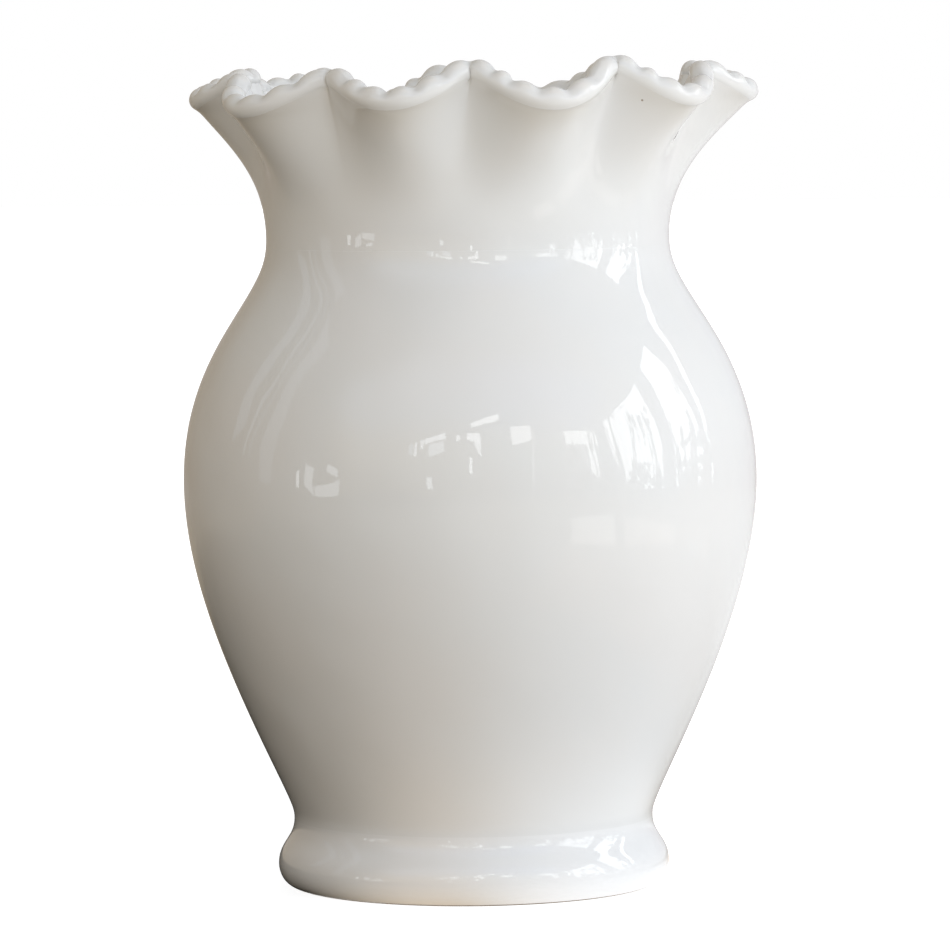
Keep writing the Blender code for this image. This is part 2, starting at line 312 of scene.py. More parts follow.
def directions(turn, rise):
    """Unit vectors at points of the collar's wall: up the wall and out of the wall."""
    low = np.clip(rise - SMALL_STEP, 0, 1)
    high = np.clip(rise + SMALL_STEP, 0, 1)
    along = unit(flare(turn + SMALL_STEP, rise) - flare(turn - SMALL_STEP, rise))
    up = flare(turn, high) - flare(turn, low)
    outward = unit(np.cross(along, up))
    return np.cross(outward, along), outward


def from_pinch(turn):
    """How far each angle lies from its nearest pinch, in lobes and in metres, and the pinch's number."""
    lobes = turn * LOBES / FULL_TURN
    pinch = np.round(lobes)
    share = lobes - pinch
    return share, np.abs(share) * FULL_TURN / LOBES * PINCH_RADIUS, pinch.astype(int) % LOBES


# The neck's curve is softened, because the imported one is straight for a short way
NECK_SOFTENING = 0.003
NECK_TUCK = 0.0003
NECK_TUCK_WIDTH = 0.009
NECK_EASE_FROM = 0.165
NECK_EASE_TO = 0.213
NECK_EASE_FADE = 0.010

# The heights at which the neck is sampled, the step between them, and how many steps the softening reaches
NECK_SAMPLED = (0.150, 0.226)
NECK_STEP = 0.0001
NECK_REACH = 120

# How finely the body's side and the collar's are followed for that, and how far up the collar's
NECK_BODY_STEPS = 192
NECK_FLARE_POINTS = 200
NECK_FLARE_RISE = 0.6


def neck_ease():
    """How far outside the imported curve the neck's softened one lies: heights, and the distances there."""
    rise = np.linspace(0, NECK_FLARE_RISE, NECK_FLARE_POINTS)[None, :]
    turn = 0 * rise + FULL_TURN / LOBES / 4
    wall = (flare(turn, rise) + WALL / 2 * directions(turn, rise)[1])[0]
    side = body_side(NECK_BODY_STEPS)
    heights = np.arange(*NECK_SAMPLED, NECK_STEP)
    known_heights = np.concatenate([side[:, 1], wall[:, 2]])
    known_radii = np.concatenate([side[:, 0], np.hypot(wall[:, 0], wall[:, 1])])
    radii = np.interp(heights, known_heights, known_radii)
    kernel = np.exp(-0.5 * (np.arange(-NECK_REACH, NECK_REACH + 1) * NECK_STEP / NECK_SOFTENING) ** 2)
    eased = np.convolve(radii, kernel / kernel.sum(), "valid") - radii[NECK_REACH:-NECK_REACH]
    heights = heights[NECK_REACH:-NECK_REACH]
    fade_in = np.clip((heights - NECK_EASE_FROM) / NECK_EASE_FADE, 0, 1)
    fade_out = np.clip((NECK_EASE_TO - heights) / NECK_EASE_FADE, 0, 1)
    tuck = NECK_TUCK * bell(heights - NECK_HEIGHT, NECK_TUCK_WIDTH)
    return heights, (eased - tuck) * smooth(fade_in * fade_out)


NECK_EASE = neck_ease()


def softer(height):
    """How far the neck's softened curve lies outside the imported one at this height."""
    return np.interp(height, *NECK_EASE, left=0.0, right=0.0)


# Collar. Its stations crowd towards each pinch and its rows towards the lip.
COLLAR_STATIONS_PER_LOBE = 48
COLLAR_CROWDING = 0.75
COLLAR_ROWS = 56
ROW_CROWDING = 1.25
SEAT_ROWS = 8
LIP_OUTER_HALF = 0.0026
LIP_INNER_HALF = 0.0024
LIP_ON_ROLL = 0.985
LIP_FILLET = 0.0022
PINCH_FILLET = 0.0075
CREASE_DEPTH = 0.0005
CREASE_WIDTH = 0.0013
CREASE_LENGTHS = np.array((0.0030, 0.0025, 0.0020, 0.0040, 0.0030, 0.0050, 0.0030, 0.0020, 0.0040, 0.0080))
PIT_DEPTH = 0.0011
PIT_WIDTH = 0.0015
PIT_LENGTH = 0.0030

# How dark the painted shade under the lip is, and how far down it reaches
SHADE_UNDER_LIP = 0.9
SHADE_UNDER_LIP_REACH = 0.011


def collar_turns():
    """The angles of the collar's sections, which crowd towards each pinch."""
    share = np.arange(COLLAR_STATIONS_PER_LOBE) / COLLAR_STATIONS_PER_LOBE
    share = share - COLLAR_CROWDING * np.sin(FULL_TURN * share) / FULL_TURN
    return ((np.arange(LOBES)[:, None] + share[None, :]) * FULL_TURN / LOBES).reshape(-1)


def collar_seat(turn, around):
    """The collar's wall beside the neck: its outer points from the seam up, and its one inner point."""
    rise = np.linspace(0, 1, SEAT_ROWS) ** 2
    heights = (NECK_SEAM + (NECK_HEIGHT + NECK_BAND / 2 - NECK_SEAM) * rise)[None, :-1]
    outer_radius = NECK_RADIUS + unevenness(turn, heights) + softer(heights)
    outer = outer_radius[..., None] * around + heights[..., None] * UP
    inner_radius = NECK_RADIUS - WALL + unevenness(turn, np.array([[INNER_SEAM]]))
    inner = inner_radius[..., None] * around + INNER_SEAM * UP
    return outer, inner


def collar():
    """The collar's rings of points, and how much shade is painted at each, from 0 to 1: in the folds and
    under the lip.
    """
    turn = collar_turns()[:, None]
    row = np.linspace(0, 1, COLLAR_ROWS + 1)[None, :]
    rise = 1 - (1 - row) ** ROW_CROWDING + 0 * turn
    middle = flare(turn, rise)
    outward = directions(turn, rise)[1]
    below_lip = np.linalg.norm(middle - middle[:, -1:], axis=-1)

    share, off_fold, pinch = from_pinch(turn)
    near_pinch = np.cos(math.pi * share) ** 2
    fillet = bell(below_lip, LIP_FILLET + (PINCH_FILLET - LIP_FILLET) * near_pinch**2)
    fading = np.exp(-below_lip / CREASE_LENGTHS[pinch])
    crease = bell(off_fold, CREASE_WIDTH) * fading
    pit = bell(off_fold, PIT_WIDTH) * bell(below_lip, PIT_LENGTH)
    sunk = CREASE_DEPTH * crease + PIT_DEPTH * pit
    # Painted shade: the glaze's colour is darkened in the folds below the pinches and under the lip, where
    # shade falls.
    shade_in_fold = bell(off_fold, 2 * CREASE_WIDTH) * fading
    shade_under_lip = SHADE_UNDER_LIP * (1 - near_pinch) * bell(below_lip, SHADE_UNDER_LIP_REACH)

    outer_half = WALL / 2 + (LIP_OUTER_HALF - WALL / 2) * rise
    outer_half = outer_half + (LIP_ON_ROLL * ROLL_RADIUS - outer_half) * fillet
    inner_half = WALL / 2 + (LIP_INNER_HALF - WALL / 2) * rise
    outside = middle + (outer_half - sunk)[..., None] * outward
    inside = middle - inner_half[..., None] * outward
    uneven = (1 - rise) ** 2 * unevenness(turn, middle[..., 2])
    radial = unit(middle * (1 - UP))
    outside = outside + (uneven + softer(outside[..., 2]))[..., None] * radial
    inside = (inside + uneven[..., None] * radial)[:, :1:-1]

    outer_seat, inner_seat = collar_seat(turn, radial[:, :1])
    rings = np.concatenate([outer_seat, outside, inside, inner_seat], axis=1)
    painted_shade = np.zeros(rings.shape[:2])
    first = outer_seat.shape[1]
    painted_shade[:, first : first + outside.shape[1]] = np.maximum(shade_in_fold, shade_under_lip)
    return rings, painted_shade


# Beaded edging. Each bead has a notch at both ends, and the roll's sides are counted from its top outwards.
BEAD_STATIONS = 24
ROLL_SIDES = 40
BEAD_DEPTH = 0.00125
BEAD_DEPTH_SPREAD = (0.8, 1.2)
BEAD_SEED = 7
BEAD_SHARPNESS = 2.2
NOTCH_ROUNDING = 0.786
NOTCH_ROUNDING_POWER = 5
THUMB_SIDE = math.radians(-32)
THUMB_OVER_EDGE = 0.1
THUMB_FULL = 0.85
PIT_SIDE = math.radians(75)
PIT_ON_ROLL = 0.7

# How much shade is painted in a full notch and in a full pit
NOTCH_SHADE = 0.22
PIT_SHADE = 0.8


def bead_turns():
    """The angles of the roll's stations, and how far each lies along its bead, from 0 to 1."""
    ends = np.array(BEAD_STARTS + (1.0,))
    along = np.arange(BEAD_STATIONS) / BEAD_STATIONS
    share = ends[:-1, None] + np.diff(ends)[:, None] * along
    lobe = np.arange(LOBES)[:, None, None]
    slip = THUMB_SLIPS[:, None, None] * np.sin(math.pi * share)
    turn = (lobe + share + slip) * FULL_TURN / LOBES
    return turn.reshape(-1, 1), (along + 0 * turn).reshape(-1, 1)


def notch_depths(along):
    """How deep each station of the roll lies in its notch, in metres."""
    draw = random.Random(BEAD_SEED)
    count = len(along) // BEAD_STATIONS
    depths = np.array([BEAD_DEPTH * draw.uniform(*BEAD_DEPTH_SPREAD) for _ in range(count)])
    first = np.repeat(depths, BEAD_STATIONS)[:, None]
    second = np.repeat(np.roll(depths, -1), BEAD_STATIONS)[:, None]
    off_crest = np.abs(2 * along - 1)
    rounding = NOTCH_ROUNDING * off_crest**NOTCH_ROUNDING_POWER
    edge = (1 + NOTCH_ROUNDING) * off_crest**BEAD_SHARPNESS - rounding
    return np.where(along < 0.5, first, second) * edge


def beaded_roll():
    """The roll's rings of points, how much shade is painted there in notches and pits, and how near they
    are to a crest.
    """
    turn, along = bead_turns()
    notch = notch_depths(along)
    side = np.linspace(0, FULL_TURN, ROLL_SIDES, endpoint=False)[None, :]
    rise = np.ones_like(turn)
    centre = flare(turn, rise)
    up, outward = directions(turn, rise)
    facing = (np.cos(side - THUMB_SIDE) + THUMB_OVER_EDGE) / (THUMB_OVER_EDGE + THUMB_FULL)
    thumbed = smooth(np.clip(facing, 0, 1))
    off_fold = from_pinch(turn)[1]
    pit_facing = np.clip(np.cos(side - PIT_SIDE), 0, 1) ** 2
    pit = PIT_ON_ROLL * PIT_DEPTH * bell(off_fold, PIT_WIDTH) * pit_facing
    radius = ROLL_RADIUS - notch * thumbed - pit
    offset = up * np.cos(side)[..., None] + outward * np.sin(side)[..., None]
    rings = centre + radius[..., None] * offset
    # Painted shade in the notches between the beads and in the pits at the pinches.
    painted_shade = NOTCH_SHADE * notch / BEAD_DEPTH * thumbed + PIT_SHADE * pit / PIT_DEPTH
    crest = np.clip(1 - notch / BEAD_DEPTH * 2, 0, 1) * thumbed**2
    return rings, np.clip(painted_shade, 0, 1), crest


# Pieces. Edges sharper than this stay sharp, and points closer than this are merged.
SHARP_EDGE = math.radians(48)
MERGED = 1e-6


def placed(name, data):
    """A new object in the scene, with this mesh, lamp or camera."""
    thing = bpy.data.objects.new(name, data)
    bpy.context.scene.collection.objects.link(thing)
    return thing


def piece_from_rings(name, rings, closed, fields, material):
    """A solid piece with a face between each two neighbours of each two rings."""
    count, around = rings.shape[:2]
    index = np.arange(count * around).reshape(count, around)
    far = np.roll(index, -1, axis=0)
    faces = np.stack([index, far, np.roll(far, -1, 1), np.roll(index, -1, 1)], -1)
    faces = (faces if closed else faces[:, :-1]).reshape(-1, 4)
    mesh = bpy.data.meshes.new(name)
    mesh.from_pydata(rings.reshape(-1, 3).tolist(), [], faces.tolist())
    for field, values in fields.items():
        attribute = mesh.attributes.new(field, "FLOAT", "POINT")
        attribute.data.foreach_set("value", np.ascontiguousarray(values, dtype=np.float32).reshape(-1))
    shape = bmesh.new()
    shape.from_mesh(mesh)
    bmesh.ops.remove_doubles(shape, verts=shape.verts, dist=MERGED)
    bmesh.ops.recalc_face_normals(shape, faces=shape.faces)
    shape.to_mesh(mesh)
    shape.free()
    mesh.shade_smooth()
    mesh.set_sharp_from_angle(angle=SHARP_EDGE)
    mesh.materials.append(material)
    return placed(name, mesh)


def rgba(colour):
    """A colour of three numbers with its alpha. A node's output stays as it is."""
    return colour + (1,) if isinstance(colour, tuple) else colour


class Nodes:
    """Adds nodes to a material and joins them, with plain numbers or other nodes' outputs as inputs."""

    def __init__(self, material):
        self.tree = material.node_tree

    def set(self, node, key, value):
        """Sets one input, named by its socket, or by i and its number."""
        numbered = key[0] == "i" and key[1:].isdigit()
        socket = node.inputs[int(key[1:])] if numbered else node.inputs[key]
        if isinstance(value, bpy.types.NodeSocket):
            self.tree.links.new(value, socket)
        else:
            socket.default_value = value

    def node(self, kind, settings=None, **inputs):
        """A new node. In the inputs' names, _ stands for a space."""
        node = self.tree.nodes.new(kind)
        for key, value in (settings or {}).items():
            setattr(node, key, value)
        for key, value in inputs.items():
            self.set(node, key.replace("_", " "), value)
        return node

    def add(self, kind, settings=None, out=0, **inputs):
        """One output of a new node."""
        return self.node(kind, settings, **inputs).outputs[out]

    def math(self, operation, a, b, clamp=False):
        return self.add("ShaderNodeMath", {"operation": operation, "use_clamp": clamp}, i0=a, i1=b)

    def plus(self, a, b):
        return self.math("ADD", a, b)

    def minus(self, a, b):
        return self.math("SUBTRACT", a, b)

    def times(self, a, b):
        return self.math("MULTIPLY", a, b)

    def most(self, a, b):
        return self.math("MAXIMUM", a, b)

    def mix(self, factor, a, b):
        """A colour between two."""
        return self.add("ShaderNodeMix", {"data_type": "RGBA"}, 2, i0=factor, i6=rgba(a), i7=rgba(b))

    def between(self, value, low, high, to_low=0.0, to_high=1.0):
        """A smooth step from one value to another while this one goes from low to high."""
        ends = {"From_Min": low, "From_Max": high, "To_Min": to_low, "To_Max": to_high}
        return self.add("ShaderNodeMapRange", {"interpolation_type": "SMOOTHSTEP"}, Value=value, **ends)

    def noise(self, place, scale, detail=2.0, roughness=0.5):
        inputs = {"Vector": place, "Scale": scale, "Detail": detail, "Roughness": roughness}
        return self.add("ShaderNodeTexNoise", **inputs)

    def field(self, name):
        """A value stored at the mesh's points."""
        return self.add("ShaderNodeAttribute", {"attribute_name": name}, 2)

    def place(self):
        """Where the shaded point is."""
        return self.add("ShaderNodeNewGeometry")

    def axes(self, place):
        """The three parts of a place."""
        return self.node("ShaderNodeSeparateXYZ", Vector=place).outputs

    def surface(self, shader):
        """Ends the material in this shader."""
        self.set(self.tree.nodes["Material Output"], "Surface", shader)

    def emit(self, colour, strength=1.0):
        """Makes the material give off this light."""
        self.surface(self.add("ShaderNodeEmission", Color=rgba(colour), Strength=strength))


def new_material(name, shaded=True):
    """A material and its nodes, with or without the usual shader."""
    material = bpy.data.materials.new(name)
    material.use_nodes = True
    if not shaded:
        material.node_tree.nodes.remove(material.node_tree.nodes["Principled BSDF"])
    return material, Nodes(material)


# Glaze
WHITE = (0.80, 0.79, 0.765)
# The foot's glaze is a little lighter than the body's: partly painted light that lifts the foot's shading.
LIGHTENED_FOOT_WHITE = (0.83, 0.82, 0.80)
BARE_BELOW = 0.0006
BARE_EDGE = 0.00025
BARE_RAGGED = 0.0005
BARE_ROUGHNESS = 0.75
GLAZE_ROUGHNESS = (0.008, 0.024)
GLAZE_IOR = 1.5
PINHOLE_RADIUS = (0.008, 0.016)
PINHOLE_SHARE = 0.28

# What the glaze's tint is multiplied by where it is thin or thick, and where shade is painted
THIN = (0.97, 0.93, 0.87)
THICK = (0.985, 1.0, 1.01)
SHADE_TINT = (0.80, 0.77, 0.71)

# Colours of the dirt in a pinhole and of the clay
PINHOLE = (0.26, 0.18, 0.11)
DARK_CLAY = (0.50, 0.40, 0.29)
LIGHT_CLAY = (0.63, 0.54, 0.42)

# How far each of these shows in the glaze's colour: the thin glaze on crests, the painted shade and the
# pinholes
CREST_SHOWN = 0.5
SHADE_SHOWN = 0.8
PINHOLE_SHOWN = 0.7

# The noises of the glaze and clay: scale, detail and, for the grain, roughness
CLOUDS = (16.0, 3.0)
WOBBLE = (38.0, 1.0)
PEEL = (620.0, 1.0)
GLOSS = (55.0, 4.0)
RAGGED = (240.0, 3.0)
GRAIN = (1900.0, 5.0, 0.7)
PINHOLE_SCALE = 34.0

# Over which stretch of its noise each of these goes from one end to the other
CLOUDS_RANGE = (0.35, 0.65)
GRAIN_RANGE = (0.35, 0.65)
GLOSS_RANGE = (0.35, 0.75)

# The glaze's relief: how deep a full wobble is, and what the others are beside it
RELIEF = 0.0006
PEEL_RELIEF = 0.005
PINHOLE_RELIEF = 0.25
GRAIN_RELIEF = 0.12


def tinted(tint, factors):
    """A tint times one factor for each of its colours."""
    return tuple(c * f for c, f in zip(tint, factors))


def pinholes(nodes, place):
    """1 in the few pinholes of the glaze, and 0 elsewhere."""
    cells = nodes.node("ShaderNodeTexVoronoi", Vector=place, Scale=PINHOLE_SCALE)
    chosen = nodes.math("GREATER_THAN", cells.outputs["Color"], 1 - PINHOLE_SHARE)
    return nodes.times(nodes.between(cells.outputs["Distance"], *PINHOLE_RADIUS, 1.0, 0.0), chosen)


def glaze_colour(nodes, place, tint):
    """The tint, clouded, thin on crests, and darkened by painted shade in folds, notches, pits and under
    the lip.
    """
    clouds = nodes.between(nodes.noise(place, *CLOUDS), *CLOUDS_RANGE)
    colour = nodes.mix(clouds, tint, tinted(tint, THICK))
    colour = nodes.mix(nodes.times(nodes.field("crest"), CREST_SHOWN), colour, tinted(tint, THIN))
    # The painted shade, as stored at the mesh's points.
    return nodes.mix(nodes.times(nodes.field("painted_shade"), SHADE_SHOWN), colour, tinted(tint, SHADE_TINT))


def with_bare_clay(nodes, place, top, colour, roughness, relief):
    """The glaze's colour, roughness and relief, with bare clay below this height."""
    ragged = nodes.times(nodes.noise(place, *RAGGED), BARE_RAGGED)
    bare = nodes.between(nodes.plus(nodes.axes(place)[2], ragged), top, top + BARE_EDGE, 1.0, 0.0)
    grain = nodes.noise(place, *GRAIN)
    clay = nodes.mix(nodes.between(grain, *GRAIN_RANGE), DARK_CLAY, LIGHT_CLAY)
    rougher = nodes.plus(roughness, nodes.times(bare, BARE_ROUGHNESS))
    grained = nodes.plus(relief, nodes.times(nodes.times(grain, bare), GRAIN_RELIEF))
    return nodes.mix(bare, colour, clay), rougher, grained


def glaze(name, tint, bare_below=None):
    """Glossy white glaze: slightly uneven in colour and gloss, with a few pinholes."""
    material, nodes = new_material(name)
    place = nodes.place()
    spot = pinholes(nodes, place)
    colour = nodes.mix(nodes.times(spot, PINHOLE_SHOWN), glaze_colour(nodes, place, tint), PINHOLE)
    peel = nodes.times(nodes.noise(place, *PEEL), PEEL_RELIEF)
    relief = nodes.plus(nodes.noise(place, *WOBBLE), peel)
    relief = nodes.minus(relief, nodes.times(spot, PINHOLE_RELIEF))
    roughness = nodes.between(nodes.noise(place, *GLOSS), *GLOSS_RANGE, *GLAZE_ROUGHNESS)
    if bare_below is not None:
        colour, roughness, relief = with_bare_clay(nodes, place, bare_below, colour, roughness, relief)
    shader = material.node_tree.nodes["Principled BSDF"]
    nodes.set(shader, "Base Color", colour)
    nodes.set(shader, "Roughness", roughness)
    nodes.set(shader, "Normal", nodes.add("ShaderNodeBump", Strength=1.0, Distance=RELIEF, Height=relief))
    nodes.set(shader, "IOR", GLAZE_IOR)
    return material


# The room's low, middle and high lights: at the left, at the right, and left and right of the camera
ROOM = 2.6
ROOM_TOP = 2.4
ROOM_LIGHT = (
    ((0.34, 0.28, 0.21), (0.72, 0.70, 0.72), (0.60, 0.47, 0.30), (0.65, 0.63, 0.63)),
    ((0.28, 0.21, 0.13), (0.75, 0.76, 0.79), (1.00, 0.83, 0.59), (0.81, 0.93, 0.95)),
    ((0.30, 0.26, 0.19), (0.64, 0.64, 0.66), (0.93, 1.00, 1.10), (0.68, 0.86, 1.25)),
)

# Over which stretch of x, y or z one of the room's lights goes over into the next
ROOM_SIDEWAYS = (-1.3, 1.3)
ROOM_AHEAD = (-1.0, -2.3)
ROOM_MIDDLE = (0.05, 0.8)
ROOM_HIGH = (0.8, 2.0)
WALLS_FROM = (0.5, 2.0)

# The table's lights: near and far in the vase's shade, between shade and light, near and far in the light,
# in front of the vase, and beyond it
TABLE_HEIGHT = 0.0006
SHADE_NEAR = (0.0, 0.0, 0.0)
SHADE_FAR = (0.36, 0.30, 0.22)
HALF_LIGHT = (0.34, 0.29, 0.235)
LIGHT_NEAR = (0.53, 0.53, 0.54)
LIGHT_FAR = (1.16, 1.16, 1.17)
FRONT_LIGHT = (1.08, 1.03, 0.94)
BEYOND_LIGHT = (0.92, 0.92, 0.93)

# Where these go over into each other: by the distance from the axis, by the direction, which is 1 towards
# the windows and -1 away from them, or by x and y
TOWARDS_WINDOWS = (0.87, -0.5)
LEAST_AWAY = 0.01
SHADE_AWAY = (0.2, 0.9)
LIGHT_AWAY = (0.12, 0.34)
HALF_LIGHT_TOWARDS = (-0.6, 0.35)
LIGHT_TOWARDS = (0.35, 0.95)
FRONT_Y = (-0.15, -0.65)
FRONT_X = (-0.8, 0.2)
BEYOND_Y = (-0.2, 0.3)
BEYOND_X = (0.0, 0.25)

# The table is lighter close to the foot: how much, up to where fully, and where no more on the shaded side
# and on the light side
LIFT = 2.15
LIFT_FROM = 0.065
LIFT_TO = (0.1, 0.135)
LIFT_TOWARDS = (-0.5, 0.45)


def card(name, corners, faces, material):
    """Flat stage cards that the lens doesn't see and the glaze does."""
    mesh = bpy.data.meshes.new(name)
    mesh.from_pydata(corners, [], faces)
    mesh.materials.append(material)
    flat = placed(name, mesh)
    flat.visible_camera = False
    return flat


def square(half, height):
    """The corners of a level square round the axis."""
    return [(x, y, height) for x, y in ((-half, -half), (half, -half), (half, half), (-half, half))]


def wall_light(nodes, x, y, z):
    """What the walls and the ceiling give off: little at the left and much at the right."""
    sideways = nodes.between(x, *ROOM_SIDEWAYS)
    ahead = nodes.between(y, *ROOM_AHEAD)
    levels = []
    for left, right, front_left, front_right in ROOM_LIGHT:
        beside = nodes.mix(sideways, left, right)
        in_front = nodes.mix(sideways, front_left, front_right)
        levels.append(nodes.mix(ahead, beside, in_front))
    lower = nodes.mix(nodes.between(z, *ROOM_MIDDLE), levels[0], levels[1])
    return nodes.mix(nodes.between(z, *ROOM_HIGH), lower, levels[2])


def table_light(nodes, x, y, away):
    """What the table gives off: little in the vase's shade at the left, and much at the right."""
    along_x, along_y = TOWARDS_WINDOWS
    towards = nodes.plus(nodes.times(x, along_x), nodes.times(y, along_y))
    towards = nodes.math("DIVIDE", towards, nodes.most(away, LEAST_AWAY))
    shade = nodes.mix(nodes.between(away, *SHADE_AWAY), SHADE_NEAR, SHADE_FAR)
    light = nodes.mix(nodes.between(away, *LIGHT_AWAY), LIGHT_NEAR, LIGHT_FAR)
    table = nodes.mix(nodes.between(towards, *HALF_LIGHT_TOWARDS), shade, HALF_LIGHT)
    table = nodes.mix(nodes.between(towards, *LIGHT_TOWARDS), table, light)
    in_front = nodes.times(nodes.between(y, *FRONT_Y), nodes.between(x, *FRONT_X))
    table = nodes.mix(in_front, table, FRONT_LIGHT)
    beyond = nodes.times(nodes.between(y, *BEYOND_Y), nodes.between(x, *BEYOND_X))
    table = nodes.mix(beyond, table, BEYOND_LIGHT)
    lift_to = nodes.between(towards, *LIFT_TOWARDS, *LIFT_TO)
    lift = nodes.between(away, LIFT_FROM, lift_to, LIFT, 1.0)
    return nodes.add("ShaderNodeVectorMath", {"operation": "SCALE"}, i0=table, Scale=lift)


def surroundings():
    """What the cards round the vase give off."""
    material, nodes = new_material("surroundings", shaded=False)
    x, y, z = nodes.axes(nodes.place())
    away = nodes.math("SQRT", nodes.plus(nodes.times(x, x), nodes.times(y, y)), 0.0)
    walls = wall_light(nodes, x, y, z)
    nodes.emit(nodes.mix(nodes.between(away, *WALLS_FROM), table_light(nodes, x, y, away), walls))
    return material


def room():
    """Cards round the scene that stand for the walls, the ceiling and the table."""
    material = surroundings()
    sides = [(0, 1, 5, 4), (1, 2, 6, 5), (2, 3, 7, 6), (3, 0, 4, 7), (4, 5, 6, 7)]
    card("room", square(ROOM, 0) + square(ROOM, ROOM_TOP), sides, material)
    table = card("table", square(ROOM, TABLE_HEIGHT), [(0, 1, 2, 3)], material)
    table.visible_shadow = False


# Windows. LEAST_SHARE of their light comes through even where trees stand.
WINDOW_DISTANCE = 2.0
WINDOW_LIGHT = (4.2, 4.3, 4.4)
TREE_SHARE = 0.20
LEAST_SHARE = 0.14

# Panes on a circle round the vase: where each starts and ends in degrees from the front towards the right,
# the heights of its lower and its upper edge at both ends, and its share of the windows' light
PANES = (
    (16.7, 24.1, 0.72, 0.76, 1.00, 1.01, 1.0),
    (24.4, 25.4, 0.02, 0.02, 0.90, 0.90, 0.45),
    (38.3, 52.5, 0.64, 0.60, 0.84, 0.80, 1.0),
    (47.4, 50.6, 0.02, 0.02, 0.62, 0.61, 1.0),
    (38.3, 47.3, 0.02, 0.02, 0.63, 0.61, 0.30),
    (57.7, 60.2, 0.05, 0.05, 0.90, 0.92, 1.0),
    (61.3, 82.0, 0.02, 0.02, 0.93, 1.29, 1.0),
    (90.0, 102.5, 0.02, 0.02, 1.43, 1.57, 1.0),
    (102.5, 104.8, 0.02, 0.02, 1.57, 1.14, 1.0),
    (1.0, 12.8, 1.02, 1.13, 1.11, 1.26, 1.2),
    (-0.9, 5.2, 0.80, 0.70, 0.93, 0.92, 1.2),
    (2.4, 5.0, 0.68, 0.48, 0.80, 0.76, 1.0),
    (0.4, 1.7, 0.30, 0.30, 0.50, 0.46, 1.2),
    (-5.9, -4.1, 0.77, 0.79, 0.89, 0.88, 1.0),
    (-16.4, -10.2, 0.68, 0.80, 0.78, 0.92, 1.1),
    (-15.0, -10.8, 0.50, 0.58, 0.68, 0.76, 0.7),
    (-18.3, -16.9, 0.60, 0.60, 0.77, 0.77, 1.0),
    (-20.9, -19.6, 0.50, 0.50, 0.71, 0.72, 1.0),
    (-23.4, -21.4, 0.52, 0.52, 0.69, 0.69, 0.5),
    (-16.1, -14.2, 0.12, 0.12, 0.26, 0.26, 0.9),
    (-70.8, -68.8, 0.07, 0.07, 0.28, 0.28, 0.9),
    (-65.6, -61.8, 0.12, 0.02, 0.36, 0.30, 0.6),
    (-61.4, -53.2, 0.02, 0.02, 0.12, 0.18, 0.6),
    (-58.8, -54.6, 0.26, 0.20, 0.34, 0.28, 0.7),
    (-91.5, -84.0, 0.12, 0.12, 2.10, 2.10, 0.17),
    (-101.8, -100.2, 0.30, 0.30, 2.10, 2.10, 0.18),
    (-97.4, -96.4, 0.30, 0.30, 2.10, 2.10, 0.16),
    (-112.0, -106.0, 0.40, 0.60, 1.60, 2.10, 0.15),
)

# The gap beside the last pane leans outwards: its height, and where it starts and ends there in degrees
GAP = (
    (0.02, 108.0, 110.3),
    (0.50, 108.6, 111.0),
    (0.88, 111.4, 114.1),
    (1.20, 113.8, 117.2),
    (1.45, 116.0, 119.4),
    (1.65, 117.6, 121.0),
)

# The trees outside. A noise lifts their tops and their trunks' tops, and the trunks are the peaks of
# another noise, stretched upwards. Towards the left the trees fade out, over TREES_X.
TREES = (5.5, 6.0, 0.7)
TREE_RISE = 3.0
TREE_LINE = (-1.28, -1.22)
TRUNKS = (13.0, 2.0)
TRUNK_STRETCH = (1.0, 1.0, 0.12)
TRUNK_EDGE = (0.53, 0.56)
TRUNK_TOPS = (-0.70, -0.62)
TREES_X = (1.0, 0.8)

# The windows' light on the table: where each patch starts and ends in degrees, and its share of the light
PATCHES = (
    (37.0, 54.0, 1.25),
    (58.5, 72.0, 1.05),
    (72.0, 86.0, 1.05),
    (90.0, 106.0, 0.70),
)
PATCH_LIGHT = (1.75, 1.70, 1.66)
PATCH_HEIGHT = 0.0012
PATCH_NEAR = 0.41
PATCH_FAR = 0.62


def on_circle(degrees, reach, height):
    """The point at this angle, this far from the axis."""
    turn = math.radians(degrees)
    return (reach * math.sin(turn), -reach * math.cos(turn), height)


def outside():
    """What shows through the panes: a bright sky over the ragged dark tops and trunks of trees."""
    material, nodes = new_material("outside", shaded=False)
    place = nodes.place()
    x, _, z = nodes.axes(place)
    over = nodes.minus(z, nodes.times(nodes.noise(place, *TREES), TREE_RISE))
    sky = nodes.between(over, *TREE_LINE, TREE_SHARE, 1.0)
    stretched = nodes.add("ShaderNodeVectorMath", {"operation": "MULTIPLY"}, i0=place, i1=TRUNK_STRETCH)
    trunks = nodes.between(nodes.noise(stretched, *TRUNKS), *TRUNK_EDGE)
    trunks = nodes.times(trunks, nodes.between(over, *TRUNK_TOPS, 1.0 - TREE_SHARE, 0.0))
    sky = nodes.times(sky, nodes.minus(1.0, trunks))
    sky = nodes.most(sky, nodes.between(x, *TREES_X))
    nodes.emit(WINDOW_LIGHT, nodes.most(nodes.times(sky, nodes.field("share")), LEAST_SHARE))
    return material


def pane_corners():
    """Each pane's four corners, as (degrees, height), and its share of the windows' light."""
    for start, end, low_start, low_end, top_start, top_end, share in PANES:
        yield ((start, low_start), (end, low_end), (end, top_end), (start, top_start)), share
    for (low, low_start, low_end), (top, top_start, top_end) in zip(GAP, GAP[1:]):
        yield ((low_start, low), (low_end, low), (top_end, top), (top_start, top)), 1.0


def windows():
    """The panes, as glints for the glaze."""
    corners = []
    shares = []
    for pane, share in pane_corners():
        corners.extend(on_circle(degrees, WINDOW_DISTANCE, height) for degrees, height in pane)
        shares.extend([share] * 4)
    faces = [tuple(range(first, first + 4)) for first in range(0, len(corners), 4)]
    panes = card("windows", corners, faces, outside())
    attribute = panes.data.attributes.new("share", "FLOAT", "POINT")
    attribute.data.foreach_set("value", shares)


